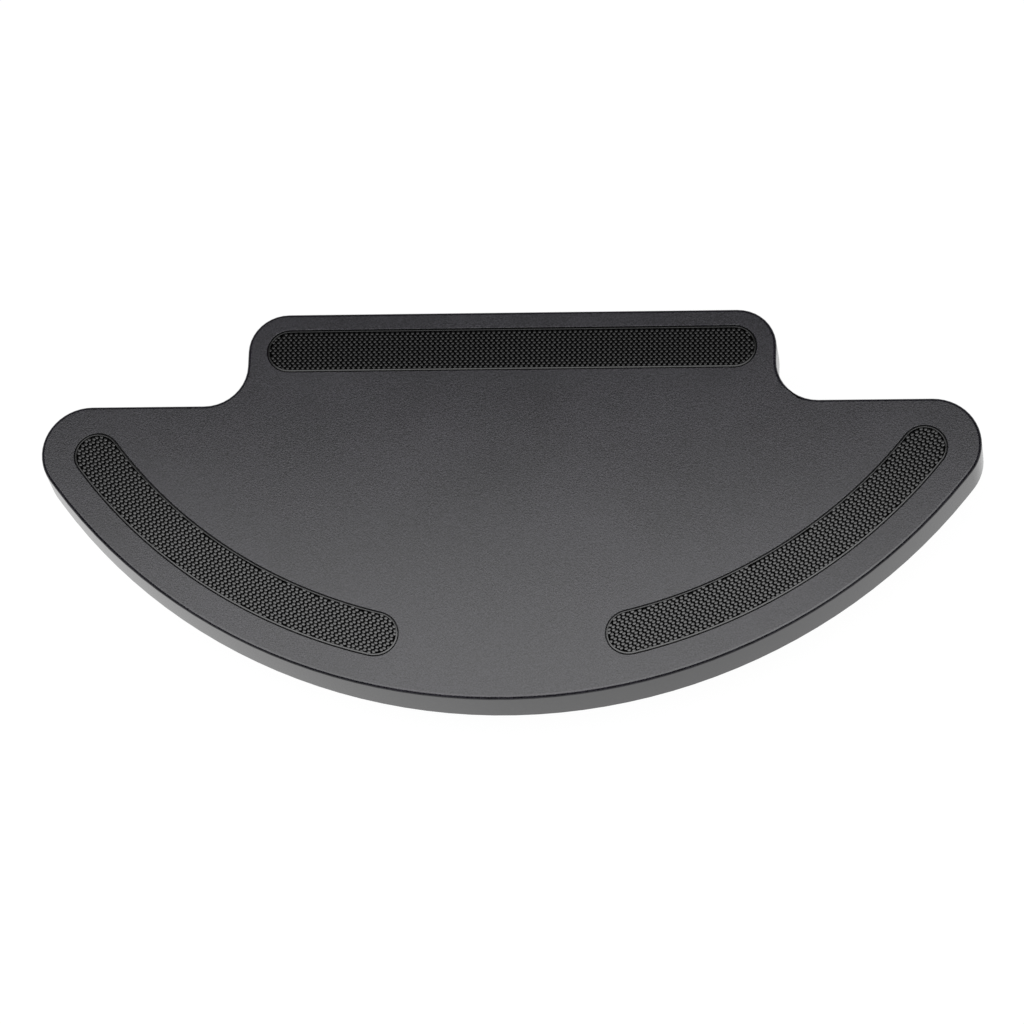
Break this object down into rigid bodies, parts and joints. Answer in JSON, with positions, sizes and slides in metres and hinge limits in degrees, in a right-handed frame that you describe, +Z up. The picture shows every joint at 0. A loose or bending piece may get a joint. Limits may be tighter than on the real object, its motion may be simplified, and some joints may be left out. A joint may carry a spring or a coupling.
{
  "type": "balance board",
  "caption": "Half-moon standing board with a rear tab and inset grip strips, on a rocking dome with a hand wheel that sets its height.",
  "frame": {"origin": "centre of the dome's flat foot, on the floor", "axes": "+Z up through the dome's axis; +X to the right along the deck's width; the round front edge faces -Y and the rear tab +Y"},
  "size_m": [0.6, 0.2624, 0.0924],
  "materials": {
    "deck_plastic": "fine leather grain on the top face, satin on the rim",
    "cover_plastic": "satin",
    "grip_rubber": "knurled in staggered rows with a smooth raised border",
    "tape_acrylic": "matt, translucent",
    "hub_nylon": "satin, glass filled",
    "zinc_steel": "zinc plated",
    "post_aluminium": "turned",
    "nut_acetal": "satin",
    "wheel_plastic": "satin",
    "dome_plastic": "fine spark texture",
    "tread_rubber": "matt",
    "screw_steel": "zinc plated"
  },
  "bodies": {
    "fulcrum": {"dome_shell": "dome_plastic", "dome_cover": "dome_plastic", "dome_screws": "screw_steel", "foot_plate": "zinc_steel", "foot_screws": "screw_steel", "tread_pad": "tread_rubber"},
    "deck": {"top_shell": "deck_plastic", "bottom_cover": "cover_plastic", "rear_grip": "grip_rubber", "left_grip": "grip_rubber", "right_grip": "grip_rubber", "rear_grip_tape": "tape_acrylic", "left_grip_tape": "tape_acrylic", "right_grip_tape": "tape_acrylic", "cover_screws": "screw_steel", "hub_housing": "hub_nylon", "backing_plate": "zinc_steel", "hub_screws": "screw_steel", "thrust_washer": "nut_acetal", "guide_post": "post_aluminium", "post_screws": "screw_steel", "stop_washer": "zinc_steel", "stop_screw": "screw_steel", "front_bumper": "tread_rubber", "rear_bumper": "tread_rubber", "left_bumper": "tread_rubber", "right_bumper": "tread_rubber", "bumper_screws": "screw_steel"},
    "adjuster": {"adjusting_nut": "nut_acetal", "hand_wheel": "wheel_plastic", "hand_wheel_screws": "screw_steel"}
  },
  "joints": [
    {"name": "deck_height", "type": "slide", "parent": "fulcrum", "child": "deck", "axis": [0, 0, 1], "range_m": [0, 0.012]},
    {"name": "wheel_turn", "type": "hinge", "parent": "deck", "child": "adjuster", "pos_m": [0, 0, 0.0555], "axis": [0, 0, 1], "range_deg": [0, 270]}
  ],
  "couplings": [
    {"joint": "wheel_turn", "follows": "deck_height", "rad_per_m": 392.6}
  ]
}
